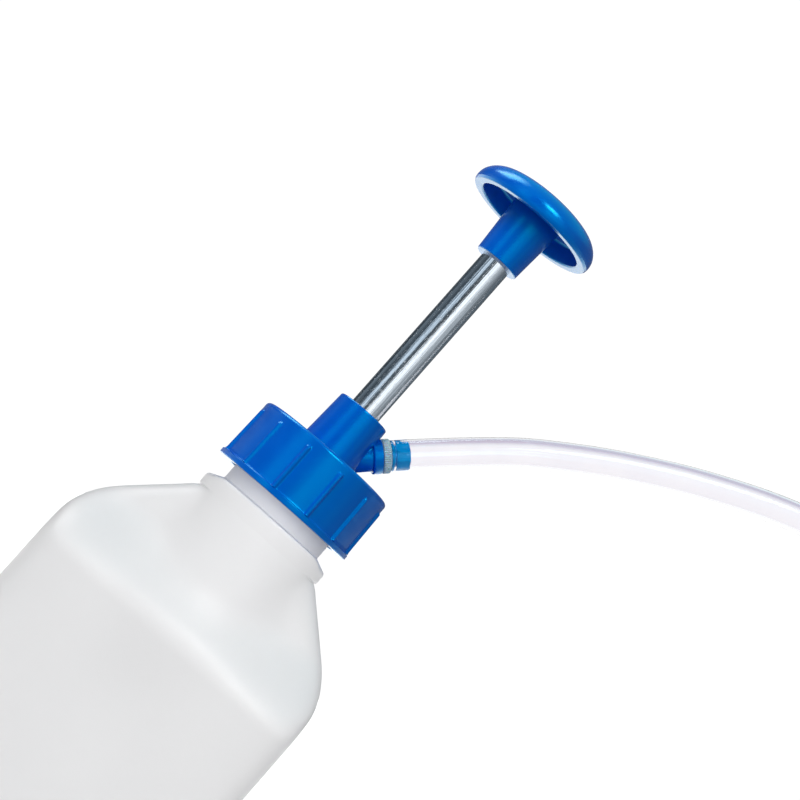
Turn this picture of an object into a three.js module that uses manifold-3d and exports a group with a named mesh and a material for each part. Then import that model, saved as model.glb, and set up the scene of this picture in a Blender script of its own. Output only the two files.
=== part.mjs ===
// Hand-operated fluid transfer pump on its bottle: a differential lift pump that hangs in the bottle
// from a screw cap. Pulling the handle draws fluid up past the inlet ball and pushes what is above the
// piston out of the hose; pushing it lets fluid through the piston and pushes out the rod's volume.
//
// Millimetres, +Z up. The origin is the centre of the bottle's base, the pump's axis is the Z axis,
// +X is the side that the hose leaves on, and -Y is the front.
import * as THREE from "three";
import { mergeVertices } from "three/addons/utils/BufferGeometryUtils.js";
import Module from "manifold-3d";

const wasm = await Module();
wasm.setup();

// ---- Driving dimensions ----------------------------------------------------------------------------

const GAP = 0.3; // between pieces that touch
const AROUND = 28; // facets round a large turned piece
const AROUND_SMALL = 18; // facets round a small one
const AROUND_TINY = 10; // facets round a ball or a thin tube

const BOTTLE = {
  halfWidth: 75,
  halfDepth: 50,
  wall: 2.4,
  baseRound: 8, // radius where the sides meet the base
  shoulderTop: 210.6, // where the shoulders meet the collar
  shoulderSlope: 1.062, // how far the shoulders spread for each millimetre that they drop
  shoulderRound: 14, // how softly the shoulders turn into the sides
  wingDepth: 23, // half the depth of the shoulders beside the collar
  wingTop: 186, // above this the shoulders are as thin as that
  wingBottom: 148, // below this the body has its full depth
  bulgeSlope: 0.105, // how fast the round front under the collar widens downwards
};
// The collar's top slopes up from its edge to a crest at the neck.
const COLLAR = { radius: 36.5, bottom: BOTTLE.shoulderTop, top: 216.6, crest: 219.9 };
const NECK = { radius: 29, bore: 26.4, top: 251.5 };
const THREAD = { pitch: 6, height: 2.1, root: 3, crest: 1.4, turns: 1.5, capTurns: 1.25, start: 236.5 };

const CAP = {
  bottom: 227.5,
  top: 260.5,
  topPlate: 2.7,
  topRadius: 37.15,
  skirtRadius: 37.9,
  lipRadius: 38.9,
  lipHeight: 3,
  edgeRound: 3,
  bore: 31.8,
  hole: 16.3,
  ribs: 12,
  ribWidth: 3.4,
  ribProud: 1.2,
  ribTurn: 17, // degrees from the front to the first rib on the hose's side
};

const HEAD = {
  flangeRadius: 29,
  flangeBottom: 254.3,
  flangeTop: 257.5,
  glandBase: 15.3,
  glandTopRadius: 13.9,
  glandTop: 286.7,
  edge: 0.7,
  spigotRadius: 17.5,
  spigotBottom: 240,
  chamberRadius: 12.2,
  chamberTop: 270,
  sealBore: 10.8,
  sealTop: 285,
  mouth: 8.6,
  ventRadius: 1.2,
  ventAt: 21.5,
};
const BUSH_TOP = 277.3;
const ROD_SEAL = { bottom: 277.6, top: 281.7 };
const WIPER = { bottom: 282, top: 284, lipFoot: 283.4, lipTip: 284.7 };
const SEAL_GROOVE = 0.6; // half the width of the groove between a cup seal's lips
const GASKET_BORE = 25.9;

const BARREL = {
  bore: 12,
  radius: 14,
  top: 251.7,
  bottom: 114.8,
  socket: 14.3,
  socketTop: 253.5,
  gasketBore: 12.4,
};
const FOOT = {
  tailBore: 5.3,
  tailRadius: 7.5,
  tailBottom: 80,
  tailTop: 91,
  radius: 17,
  coneTop: 100,
  top: 126,
  floor: 111.7, // the shoulder that the ball cage rests on
  chamber: 9,
  seatTop: 102,
  seatRadius: 7,
  port: 3,
  portTop: 96,
  tubeStop: 94,
};
const CAGE = { radius: 13.9, bottom: 112, top: 114.5, holes: 4, holeRadius: 3, holeAt: 8 };
const INLET_BALL = { radius: 5.5, centre: 101.25 };
const SUCTION = { radius: 5, bore: 3.5, top: 93.7, bottom: 14.3 };
const STRAINER = {
  radius: 8,
  bore: 6.4,
  bottom: 4,
  floor: 5.6,
  wallTop: 20,
  top: 22,
  tubeBore: 5.3,
  tubeStop: 14,
  neckBore: 4,
  roof: 13,
  slots: 4, // each cuts through two sides
  slotWidth: 1.6,
  slotHeight: 5.4,
};

const ROD = { radius: 8, bore: 6.5, bottom: 250.5, top: 405.7 };
const HUB = { bottom: 382.3, radius: 11.75, topRadius: 13.6 };
const HANDLE = { radius: 35.1, lip: 406.5, top: 422, studBore: 5.3, studBoreTop: 416 };
const STUD = { radius: 4.9, bottom: 393, top: 415.7, chamfer: 0.7 };
const PLUG = { tip: 240, tipRadius: 2.6, neckBottom: 241.4, neckRadius: 4, top: 262 };
const PISTON = {
  radius: 11.5,
  bottom: 224.5,
  top: 250.2,
  seatBore: 7.9,
  seatStop: 230,
  chamber: 6.4,
  chamberTop: 245.5,
  throat: 4.3,
  collar: 7.8,
  collarBottom: 247.5,
  shoulder: 246.5,
  windowWidth: 5,
  windowHeight: 6,
  windowMiddle: 241.8,
};
const PISTON_GROOVE = { radius: 9.2, height: 4.4, bottoms: [226.4, 232.4] };
const PISTON_SEAL = { inner: 9.5, outer: 11.7, height: 3.8 };
const SEAT = { bore: 3.2, radius: 7.6, top: 229.7, coneRadius: 6.7, coneBottom: 226.2 };
const PISTON_BALL = { radius: 4.5, centre: 229.85 };

// The outlet leaves the gland upwards, to the right and a little to the back, and the distances below
// are along it from the point where it crosses the pump's axis.
const OUTLET = {
  origin: new THREE.Vector3(0, 0, 257),
  direction: new THREE.Vector3(0.708, 0.13, 0.694).normalize(),
  bossRadius: 7.2,
  bossStart: 13.5,
  ringRadius: 8.5,
  ringStart: 23.3,
  ringEnd: 27.9,
  portRadius: 3.2,
  portStart: 10,
  threadRadius: 5,
  threadStart: 21,
  nutRadius: 8.3,
  nutBore: 6.4,
  nutEnd: 32,
};
const FITTING = { bore: 2.9, radius: 4.5, start: 21.5, flange: 6 };
const BARB = {
  bore: 1.6,
  stem: 2.5,
  start: 25,
  radius: 4.9,
  groove: 4,
  nose: 3.6,
  end: 41.7,
  flats: 6,
  flatLean: 9, // degrees that each flat leans towards the axis at the nose
};
const HOSE = { radius: 7.5, bore: 5.5, start: OUTLET.nutEnd + GAP, sides: 8, steps: 30 };
// The hose's unseen length lies in two flat turns, whose solid is one ring.
const COIL = { x: 223, y: -9, inner: 60.2, outer: 90.8, bottom: 1.5, top: 16.6 };
const TIE = { width: 11, thick: 1.1, angle: 150 };

// ---- Shapes ----------------------------------------------------------------------------------------

const degrees = THREE.MathUtils.degToRad;
const smoothstep = THREE.MathUtils.smoothstep;

// A piece turned about the Z axis, from points of radius and height.
const turned = (profile, facets = AROUND) =>
  outward(
    new THREE.LatheGeometry(
      profile.map(([radius, height]) => new THREE.Vector2(radius, height)),
      facets,
    ).rotateX(Math.PI / 2),
  );

// A plain ring or tube about the Z axis.
const ring = (inner, outer, bottom, top, facets = AROUND_SMALL) =>
  turned(
    [
      [inner, bottom],
      [outer, bottom],
      [outer, top],
      [inner, top],
      [inner, bottom],
    ],
    facets,
  );

// A solid rod about the Z axis.
const rod = (radius, bottom, top, facets = AROUND_SMALL) =>
  turned(
    [
      [0, bottom],
      [radius, bottom],
      [radius, top],
      [0, top],
    ],
    facets,
  );

const ball = (radius, height) =>
  new THREE.SphereGeometry(radius, 14, 8).rotateX(Math.PI / 2).translate(0, 0, height);

// A block by its size and its centre.
const block = (size, centre) => new THREE.BoxGeometry(...size).translate(...centre);

// Only the positions, with shared vertices merged.
const bare = (geometry) => {
  const copy = geometry.clone();
  copy.deleteAttribute("normal");
  copy.deleteAttribute("uv");
  return mergeVertices(copy, 1e-4);
};

// The same surface with its faces pointing out.
const outward = (geometry) => {
  const merged = bare(geometry);
  const at = merged.attributes.position;
  const index = merged.index.array;
  const corner = [0, 1, 2].map(() => new THREE.Vector3());
  let volume = 0;
  for (let i = 0; i < index.length; i += 3) {
    corner.forEach((point, k) => point.fromBufferAttribute(at, index[i + k]));
    volume += corner[0].dot(corner[1].clone().cross(corner[2]));
  }
  if (volume < 0)
    for (let i = 0; i < index.length; i += 3) {
      const kept = index[i + 1];
      index[i + 1] = index[i + 2];
      index[i + 2] = kept;
    }
  return merged;
};

// A closed skin through rings that hold the same number of points, with a flat fan at each end.
const lofted = (rings) => {
  const count = rings[0].length;
  const positions = rings.flat().flatMap((point) => [...point]);
  const middle = (points) =>
    points.reduce((sum, point) => sum.add(point), new THREE.Vector3()).divideScalar(count);
  positions.push(...middle(rings[0]), ...middle(rings.at(-1)));
  const first = rings.length * count;
  const last = first + 1;
  const top = (rings.length - 1) * count;
  const index = [];
  for (let j = 0; j < count; j++) {
    const next = (j + 1) % count;
    for (let i = 0; i < rings.length - 1; i++) {
      const [low, high] = [i * count, (i + 1) * count];
      index.push(low + j, low + next, high + next, low + j, high + next, high + j);
    }
    index.push(first, next, j, last, top + j, top + next);
  }
  const geometry = new THREE.BufferGeometry();
  geometry.setAttribute("position", new THREE.Float32BufferAttribute(positions, 3));
  geometry.setIndex(index);
  return outward(geometry);
};

// A screw thread's ridge: a trapezium that climbs to the left round the Z axis, thinning at its ends.
// It is rooted at one radius and reaches the other, either outwards or inwards.
const threadRidge = (rootRadius, crestRadius, start, turns) => {
  const steps = Math.round(turns * 24);
  const rings = [];
  for (let i = 0; i <= steps; i++) {
    const turn = (i / steps) * turns;
    const ends = Math.min(1, (i + 0.6) / 3, (steps - i + 0.6) / 3);
    const reach = THREE.MathUtils.lerp(rootRadius, crestRadius, ends);
    const height = start + turn * THREAD.pitch;
    const angle = turn * Math.PI * 2;
    const point = (radius, up) =>
      new THREE.Vector3(radius * Math.cos(angle), radius * Math.sin(angle), height + up);
    const into = rootRadius + Math.sign(rootRadius - crestRadius) * 0.5;
    const half = THREAD.root / 2;
    const tip = THREE.MathUtils.lerp(half, THREAD.crest / 2, ends);
    rings.push([point(into, -half), point(reach, -tip), point(reach, tip), point(into, half)]);
  }
  return lofted(rings);
};

// ---- Joining and cutting ---------------------------------------------------------------------------

const solidOf = (geometry) => {
  const merged = bare(geometry);
  return new wasm.Manifold(
    new wasm.Mesh({
      numProp: 3,
      vertProperties: merged.attributes.position.array,
      triVerts: new Uint32Array(merged.index.array),
    }),
  );
};

// One piece made of a first shape with others added, and then others cut away.
const combined = (first, added = [], cut = []) => {
  let solid = solidOf(first);
  for (const shape of added) solid = solid.add(solidOf(shape));
  for (const shape of cut) solid = solid.subtract(solidOf(shape));
  const made = solid.getMesh();
  const geometry = new THREE.BufferGeometry();
  geometry.setAttribute("position", new THREE.BufferAttribute(made.vertProperties, 3));
  geometry.setIndex(new THREE.BufferAttribute(made.triVerts, 1));
  return geometry;
};

// ---- Bottle ----------------------------------------------------------------------------------------

// The larger or smaller of two values, turning softly from one to the other within a range.
const softMax = (a, b, range) => Math.max(a, b) + Math.max(range - Math.abs(a - b), 0) ** 2 / (4 * range);
const softMin = (a, b, range) => -softMax(-a, -b, range);

// How far the bottle's skin is from the axis at a height, in the direction of an angle from +X.
const bottleRadius = (height, angle) => {
  const below = BOTTLE.shoulderTop - height;
  const base = Math.max(BOTTLE.baseRound - height, 0);
  const inset = BOTTLE.baseRound - Math.sqrt(BOTTLE.baseRound ** 2 - base ** 2);
  const wings = smoothstep(height, BOTTLE.wingBottom, BOTTLE.wingTop);
  const spread = COLLAR.radius - 1 + below * BOTTLE.shoulderSlope;
  const width = softMin(BOTTLE.halfWidth, spread, BOTTLE.shoulderRound) - inset;
  const depth = THREE.MathUtils.lerp(BOTTLE.halfDepth, BOTTLE.wingDepth, wings) - inset;
  const power = THREE.MathUtils.lerp(7, 3, wings);
  const sides =
    (Math.abs(Math.cos(angle) / width) ** power + Math.abs(Math.sin(angle) / depth) ** power) **
    (-1 / power);
  // The round bulge meets the collar flush at the front and back, and a little inside it at the sides.
  const flush = smoothstep(Math.abs(Math.sin(angle)), 0.35, 0.7);
  const bulge = COLLAR.radius - 1 + flush + below * BOTTLE.bulgeSlope;
  return height < BOTTLE.wingBottom ? sides : softMax(sides, bulge, 4);
};

const bottleRing = (height, radiusAt) =>
  Array.from({ length: AROUND }, (_, j) => {
    const angle = (j / AROUND) * Math.PI * 2;
    const radius = radiusAt(angle);
    return new THREE.Vector3(radius * Math.cos(angle), radius * Math.sin(angle), height);
  });

const bottle = () => {
  const outside = (height) => bottleRing(height, (angle) => bottleRadius(height, angle));
  const inside = (height) =>
    bottleRing(height, (angle) => bottleRadius(height + 1, angle) - BOTTLE.wall);
  const round = (radius, height) => bottleRing(height, () => radius);
  const shoulder = [148, 156, 163, 170, 178, 186, 194, 202];
  const rings = [
    ...[0, 2.4, BOTTLE.baseRound].map(outside),
    ...shoulder.map(outside),
    round(COLLAR.radius, COLLAR.bottom),
    round(COLLAR.radius, COLLAR.top - 1.4),
    round(COLLAR.radius - 1.4, COLLAR.top + 0.6),
    round(NECK.radius, COLLAR.crest),
    round(NECK.radius, NECK.top),
    round(NECK.bore, NECK.top),
    round(NECK.bore, COLLAR.top - BOTTLE.wall),
    round(COLLAR.radius - 2 * BOTTLE.wall, COLLAR.bottom),
    ...shoulder.toReversed().map(inside),
    ...[BOTTLE.baseRound, BOTTLE.wall].map(inside),
  ];
  const crest = NECK.radius + THREAD.height;
  return combined(lofted(rings), [threadRidge(NECK.radius, crest, THREAD.start, THREAD.turns)]);
};

// ---- Cap and what it clamps ------------------------------------------------------------------------

const capRib = (number) => {
  const [low, high] = [CAP.bottom + CAP.lipHeight, CAP.top - CAP.edgeRound - 1];
  const radius = CAP.ribWidth / 2;
  const lean = Math.atan2(CAP.skirtRadius - CAP.topRadius, high - low);
  const middle = (CAP.skirtRadius + CAP.topRadius) / 2 + CAP.ribProud - radius;
  const angle = degrees(CAP.ribTurn - 90 + (number * 360) / CAP.ribs);
  return new THREE.CapsuleGeometry(radius, high - low - 2 * radius, 1, 6, 1)
    .rotateX(Math.PI / 2)
    .rotateY(-lean)
    .translate(middle, 0, (low + high) / 2)
    .rotateZ(angle);
};

const cap = () => {
  const under = CAP.top - CAP.topPlate;
  const lipTop = CAP.bottom + CAP.lipHeight;
  const shell = turned([
    [CAP.bore, CAP.bottom],
    [CAP.lipRadius, CAP.bottom],
    [CAP.lipRadius, lipTop - 0.6],
    [CAP.skirtRadius, lipTop + 0.4],
    [CAP.topRadius, CAP.top - CAP.edgeRound],
    [CAP.topRadius - 0.8, CAP.top - 1.2],
    [CAP.topRadius - CAP.edgeRound, CAP.top],
    [CAP.hole, CAP.top],
    [CAP.hole, under],
    [CAP.bore, under],
    [CAP.bore, CAP.bottom],
  ]);
  const ribs = Array.from({ length: CAP.ribs }, (_, number) => capRib(number));
  const crest = NECK.radius + 0.6;
  const thread = threadRidge(CAP.bore, crest, THREAD.start - THREAD.pitch / 2, THREAD.capTurns);
  return combined(shell, [...ribs, thread]);
};

const capGasket = () =>
  ring(GASKET_BORE, HEAD.flangeRadius, NECK.top + GAP, HEAD.flangeBottom - GAP, AROUND);

// ---- Pump head -------------------------------------------------------------------------------------

// A piece built upwards from the origin, laid along the outlet at a distance along it.
const alongOutlet = (geometry, distance = 0) => {
  const turn = new THREE.Quaternion().setFromUnitVectors(new THREE.Vector3(0, 0, 1), OUTLET.direction);
  const place = OUTLET.origin.clone().addScaledVector(OUTLET.direction, distance);
  return geometry.applyQuaternion(turn).translate(...place);
};

const pumpHead = () => {
  const body = turned([
    [0, HEAD.spigotBottom],
    [HEAD.spigotRadius, HEAD.spigotBottom],
    [HEAD.spigotRadius, HEAD.flangeBottom],
    [HEAD.flangeRadius, HEAD.flangeBottom],
    [HEAD.flangeRadius, HEAD.flangeTop],
    [HEAD.glandBase, HEAD.flangeTop],
    [HEAD.glandTopRadius, HEAD.glandTop - HEAD.edge],
    [HEAD.glandTopRadius - HEAD.edge, HEAD.glandTop],
    [0, HEAD.glandTop],
  ]);
  const boss = alongOutlet(rod(OUTLET.bossRadius, OUTLET.bossStart, OUTLET.ringStart + 0.5));
  const shoulder = alongOutlet(rod(OUTLET.ringRadius, OUTLET.ringStart, OUTLET.ringEnd));
  const bore = turned([
    [0, HEAD.spigotBottom - 1],
    [BARREL.socket, HEAD.spigotBottom - 1],
    [BARREL.socket, BARREL.socketTop],
    [HEAD.chamberRadius, BARREL.socketTop],
    [HEAD.chamberRadius, HEAD.chamberTop],
    [HEAD.sealBore, HEAD.chamberTop],
    [HEAD.sealBore, HEAD.sealTop],
    [HEAD.mouth, HEAD.sealTop],
    [HEAD.mouth, HEAD.glandTop + 1],
    [0, HEAD.glandTop + 1],
  ]);
  const mouth = OUTLET.ringEnd + 1;
  const port = alongOutlet(rod(OUTLET.portRadius, OUTLET.portStart, mouth, AROUND_TINY));
  const thread = alongOutlet(rod(OUTLET.threadRadius, OUTLET.threadStart, mouth, AROUND_TINY));
  const vent = rod(HEAD.ventRadius, HEAD.flangeBottom - 1, HEAD.flangeTop + 1, 12).translate(
    -HEAD.ventAt,
    0,
    0,
  );
  return combined(body, [boss, shoulder], [bore, port, thread, vent]);
};

const rodBush = () => ring(ROD.radius + GAP, HEAD.sealBore - GAP, HEAD.chamberTop + GAP, BUSH_TOP);

// A cup seal: a ring with a groove between its two lips, on its upper face.
const cupSeal = (inner, outer, bottom, top) => {
  const grooveFloor = bottom + 0.45 * (top - bottom);
  const middle = (inner + outer) / 2;
  const profile = [
    [inner, bottom],
    [outer, bottom],
    [outer, top],
    [middle + SEAL_GROOVE, top],
    [middle, grooveFloor],
    [middle - SEAL_GROOVE, top],
    [inner, top],
    [inner, bottom],
  ];
  return turned(profile, AROUND_SMALL);
};

const rodSeal = () =>
  cupSeal(ROD.radius + 0.2, HEAD.sealBore - GAP, ROD_SEAL.bottom, ROD_SEAL.top);

const rodWiper = () =>
  turned(
    [
      [ROD.radius + 0.8, WIPER.bottom],
      [HEAD.sealBore - GAP, WIPER.bottom],
      [HEAD.sealBore - GAP, WIPER.top],
      [ROD.radius + 1, WIPER.top],
      [ROD.radius + 0.2, WIPER.lipTip],
      [ROD.radius + 0.2, WIPER.lipFoot],
      [ROD.radius + 0.8, WIPER.bottom],
    ],
    AROUND_SMALL,
  );

const barrel = () => ring(BARREL.bore, BARREL.radius, BARREL.bottom, BARREL.top);

const barrelGasket = () =>
  ring(BARREL.gasketBore, BARREL.radius, BARREL.top + GAP, BARREL.socketTop - GAP);

// ---- Inlet -----------------------------------------------------------------------------------------

const footValveBody = () =>
  turned(
    [
      [FOOT.tailBore, FOOT.tailBottom],
      [FOOT.tailRadius, FOOT.tailBottom],
      [FOOT.tailRadius, FOOT.tailTop],
      [FOOT.radius - 3, FOOT.coneTop - 4],
      [FOOT.radius, FOOT.coneTop],
      [FOOT.radius, FOOT.top],
      [BARREL.socket, FOOT.top],
      [BARREL.socket, FOOT.floor],
      [FOOT.chamber, FOOT.floor],
      [FOOT.chamber, FOOT.seatTop],
      [FOOT.seatRadius, FOOT.coneTop],
      [FOOT.port, FOOT.portTop],
      [FOOT.port, FOOT.tubeStop],
      [FOOT.tailBore, FOOT.tubeStop],
      [FOOT.tailBore, FOOT.tailBottom],
    ],
    AROUND_SMALL,
  );

const ballCage = () => {
  const holes = Array.from({ length: CAGE.holes }, (_, k) =>
    rod(CAGE.holeRadius, CAGE.bottom - 1, CAGE.top + 1, AROUND_TINY)
      .translate(CAGE.holeAt, 0, 0)
      .rotateZ(degrees((360 * k) / CAGE.holes)),
  );
  return combined(rod(CAGE.radius, CAGE.bottom, CAGE.top), [], holes);
};

const inletBall = () => ball(INLET_BALL.radius, INLET_BALL.centre);

const suctionTube = () =>
  ring(SUCTION.bore, SUCTION.radius, SUCTION.bottom, SUCTION.top, AROUND_TINY);

const strainer = () => {
  const basket = turned(
    [
      [0, STRAINER.bottom],
      [STRAINER.radius - 1, STRAINER.bottom],
      [STRAINER.radius, STRAINER.bottom + 1],
      [STRAINER.radius, STRAINER.wallTop],
      [STRAINER.radius - 1.2, STRAINER.top],
      [STRAINER.tubeBore, STRAINER.top],
      [STRAINER.tubeBore, STRAINER.tubeStop],
      [STRAINER.neckBore, STRAINER.tubeStop],
      [STRAINER.neckBore, STRAINER.roof],
      [STRAINER.bore, STRAINER.roof],
      [STRAINER.bore, STRAINER.floor],
      [0, STRAINER.floor],
    ],
    AROUND_SMALL,
  );
  const size = [3 * STRAINER.radius, STRAINER.slotWidth, STRAINER.slotHeight];
  const middle = [0, 0, (STRAINER.floor + STRAINER.roof) / 2];
  const slots = Array.from({ length: STRAINER.slots }, (_, k) =>
    block(size, middle).rotateZ(degrees(((k + 0.5) * 180) / STRAINER.slots)),
  );
  return combined(basket, [], slots);
};

// ---- Plunger ---------------------------------------------------------------------------------------

const handle = () =>
  turned([
    [0, HANDLE.top],
    [12, HANDLE.top - 0.2],
    [22, HANDLE.top - 1.3],
    [29, HANDLE.top - 3.6],
    [33.4, HANDLE.top - 7.4],
    [HANDLE.radius, HANDLE.top - 12],
    [HANDLE.radius - 0.3, HANDLE.lip + 1.6],
    [HANDLE.radius - 1.8, HANDLE.lip],
    [HANDLE.radius - 5, HANDLE.lip],
    [HANDLE.radius - 5.8, HANDLE.lip + 0.9],
    [HANDLE.radius - 6.6, HANDLE.lip + 8],
    [27, HANDLE.lip + 9.6],
    [22, HANDLE.lip + 11.2],
    [17, HANDLE.lip + 11.2],
    [14.4, HANDLE.lip + 10],
    [HUB.topRadius, HANDLE.lip + 7],
    [HUB.radius, HUB.bottom + 0.8],
    [HUB.radius - 0.8, HUB.bottom],
    [ROD.radius + GAP, HUB.bottom],
    [ROD.radius + GAP, ROD.top + 2 * GAP],
    [HANDLE.studBore, ROD.top + 2 * GAP],
    [HANDLE.studBore, HANDLE.studBoreTop],
    [0, HANDLE.studBoreTop],
  ]);

const rodTube = () => ring(ROD.bore, ROD.radius, ROD.bottom, ROD.top);

const rodStud = () =>
  turned(
    [
      [0, STUD.bottom],
      [ROD.bore - GAP, STUD.bottom],
      [ROD.bore - GAP, ROD.top],
      [STUD.radius, ROD.top],
      [STUD.radius, STUD.top - STUD.chamfer],
      [STUD.radius - STUD.chamfer, STUD.top],
      [0, STUD.top],
    ],
    AROUND_TINY,
  );

const rodPlug = () =>
  turned(
    [
      [0, PLUG.tip],
      [PLUG.tipRadius, PLUG.tip],
      [PLUG.neckRadius, PLUG.neckBottom],
      [PLUG.neckRadius, ROD.bottom],
      [ROD.bore - GAP, ROD.bottom],
      [ROD.bore - GAP, PLUG.top],
      [0, PLUG.top],
    ],
    AROUND_TINY,
  );

// A groove round the piston for a seal.
const pistonGroove = (bottom) => [
  [PISTON.radius, bottom],
  [PISTON_GROOVE.radius, bottom],
  [PISTON_GROOVE.radius, bottom + PISTON_GROOVE.height],
  [PISTON.radius, bottom + PISTON_GROOVE.height],
];

const piston = () => {
  const body = turned(
    [
      [PISTON.seatBore, PISTON.bottom],
      [PISTON.radius, PISTON.bottom],
      ...PISTON_GROOVE.bottoms.flatMap(pistonGroove),
      [PISTON.radius, PISTON.shoulder],
      [PISTON.collar, PISTON.collarBottom],
      [PISTON.collar, PISTON.top],
      [PISTON.throat, PISTON.top],
      [PISTON.throat, PISTON.chamberTop],
      [PISTON.chamber, PISTON.chamberTop],
      [PISTON.chamber, PISTON.seatStop],
      [PISTON.seatBore, PISTON.seatStop],
      [PISTON.seatBore, PISTON.bottom],
    ],
    AROUND_SMALL,
  );
  const size = [3 * PISTON.radius, PISTON.windowWidth, PISTON.windowHeight];
  const windows = [0, 90].map((turn) =>
    block(size, [0, 0, PISTON.windowMiddle]).rotateZ(degrees(turn)),
  );
  return combined(body, [], windows);
};

const pistonSeal = (grooveBottom) => {
  const bottom = grooveBottom + GAP;
  return cupSeal(PISTON_SEAL.inner, PISTON_SEAL.outer, bottom, bottom + PISTON_SEAL.height);
};

const pistonSeat = () =>
  turned(
    [
      [SEAT.bore, PISTON.bottom + GAP],
      [SEAT.radius, PISTON.bottom + GAP],
      [SEAT.radius, SEAT.top],
      [SEAT.coneRadius, SEAT.top],
      [SEAT.bore, SEAT.coneBottom],
      [SEAT.bore, PISTON.bottom + GAP],
    ],
    AROUND_SMALL,
  );

const pistonBall = () => ball(PISTON_BALL.radius, PISTON_BALL.centre);

// ---- Outlet and hose -------------------------------------------------------------------------------

const outletFitting = () =>
  alongOutlet(
    turned(
      [
        [FITTING.bore, FITTING.start],
        [FITTING.radius, FITTING.start],
        [FITTING.radius, OUTLET.ringEnd + GAP],
        [FITTING.flange, OUTLET.ringEnd + GAP],
        [FITTING.flange, OUTLET.nutEnd - GAP],
        [FITTING.bore, OUTLET.nutEnd - GAP],
        [FITTING.bore, FITTING.start],
      ],
      AROUND_SMALL,
    ),
  );

const hoseNut = () =>
  alongOutlet(ring(OUTLET.nutBore, OUTLET.nutRadius, OUTLET.ringEnd + GAP, OUTLET.nutEnd));

// The barb: a stem in the fitting, a flange, a groove, and a tapered nose with flats.
const hoseBarb = () => {
  const stem = turned(
    [
      [BARB.bore, BARB.start],
      [BARB.stem, BARB.start],
      [BARB.stem, OUTLET.nutEnd],
      [BARB.radius, OUTLET.nutEnd],
      [BARB.radius, OUTLET.nutEnd + 0.9],
      [BARB.groove, OUTLET.nutEnd + 1.2],
      [BARB.groove, OUTLET.nutEnd + 2],
      [BARB.radius, OUTLET.nutEnd + 2.4],
      [BARB.radius, OUTLET.nutEnd + 4.4],
      [BARB.nose, BARB.end],
      [BARB.bore, BARB.end],
      [BARB.bore, BARB.start],
    ],
    AROUND_SMALL,
  );
  const flats = Array.from({ length: BARB.flats }, (_, k) =>
    new THREE.BoxGeometry(4, 10, 12)
      .rotateY(degrees(-BARB.flatLean))
      .translate(6, 0, OUTLET.nutEnd + 8.1)
      .rotateZ(degrees((360 * k) / BARB.flats)),
  );
  return alongOutlet(combined(stem, [], flats));
};

// The hose's centreline, from the outlet over the top and down to the floor beside the bottle.
const hoseRoute = () => {
  const out = (distance) => OUTLET.origin.clone().addScaledVector(OUTLET.direction, distance);
  const points = [
    [33.9, 6.2, 290.3],
    [55.7, 10.2, 310.9],
    [71, 13, 324.2],
    [87.7, 16.1, 336.4],
    [105.1, 19.3, 348.1],
    [122.4, 22.5, 358.6],
    [141, 25.9, 369],
    [160.5, 29.5, 378.7],
    [180, 33, 387.5],
    [199.6, 36.6, 395],
    [219.3, 40.3, 401.3],
    [238, 43.7, 403.9],
    [259, 47.6, 400.6],
    [278, 51, 390.9],
    [293, 53.8, 375.9],
    [302.7, 55.6, 356.9],
    [306, 56.2, 335.9],
    [306, 56.2, 285],
    [306, 56.2, 235],
    [306, 56.2, 185],
    [306, 56.2, 135],
    [306, 56.2, 100],
    [306, 55.8, 75],
    [306, 51, 51],
    [306, 36.3, 28.9],
    [306, 14.2, 14.2],
    [306, -9, 9],
  ];
  return [out(HOSE.start), ...points.map((point) => new THREE.Vector3(...point))];
};

const hoseCoil = (grown = 0) =>
  ring(COIL.inner - grown, COIL.outer + grown, COIL.bottom - grown, COIL.top + grown, AROUND).translate(
    COIL.x,
    COIL.y,
    0,
  );

const hose = () => {
  const section = new THREE.Shape();
  section.absarc(0, 0, HOSE.radius, 0, Math.PI * 2);
  const bore = new THREE.Path();
  bore.absarc(0, 0, HOSE.bore, 0, Math.PI * 2, true);
  section.holes.push(bore);
  const tube = new THREE.ExtrudeGeometry(section, {
    steps: HOSE.steps,
    curveSegments: HOSE.sides / 2,
    extrudePath: new THREE.CatmullRomCurve3(hoseRoute()),
  });
  return combined(outward(tube), [], [hoseCoil(GAP)]);
};

// A strap round both turns of the coil.
const hoseTie = () => {
  const inside = [COIL.outer - COIL.inner + 6 * GAP, COIL.top - COIL.bottom + 2 * GAP];
  const middle = [(COIL.outer + COIL.inner) / 2, 0, (COIL.top + COIL.bottom) / 2];
  const outside = inside.map((side) => side + 2 * TIE.thick);
  const strap = combined(
    block([outside[0], TIE.width, outside[1]], middle),
    [],
    [block([inside[0], TIE.width + 1, inside[1]], middle)],
  );
  return strap.rotateZ(degrees(TIE.angle)).translate(COIL.x, COIL.y, 0);
};

// ---- Assembly --------------------------------------------------------------------------------------

const looks = {
  bottle: { color: 0xe6e8ea, roughness: 0.45, transparent: true, opacity: 0.85 },
  blue: { color: 0x0a5db8, roughness: 0.28 },
  chrome: { color: 0xd6d9dc, roughness: 0.12, metalness: 1 },
  steel: { color: 0xb4b8bc, roughness: 0.3, metalness: 1 },
  white: { color: 0xe9e9e4, roughness: 0.5 },
  rubber: { color: 0x1a1b1d, roughness: 0.7 },
  clear: { color: 0xe4e4f0, roughness: 0.1, transparent: true, opacity: 0.5 },
  frosted: { color: 0xc9d6d6, roughness: 0.4, transparent: true, opacity: 0.8 },
};

const part = new THREE.Group();
const place = (name, geometry, look) => {
  const mesh = new THREE.Mesh(geometry, new THREE.MeshStandardMaterial(looks[look]));
  mesh.name = name;
  part.add(mesh);
};

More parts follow.
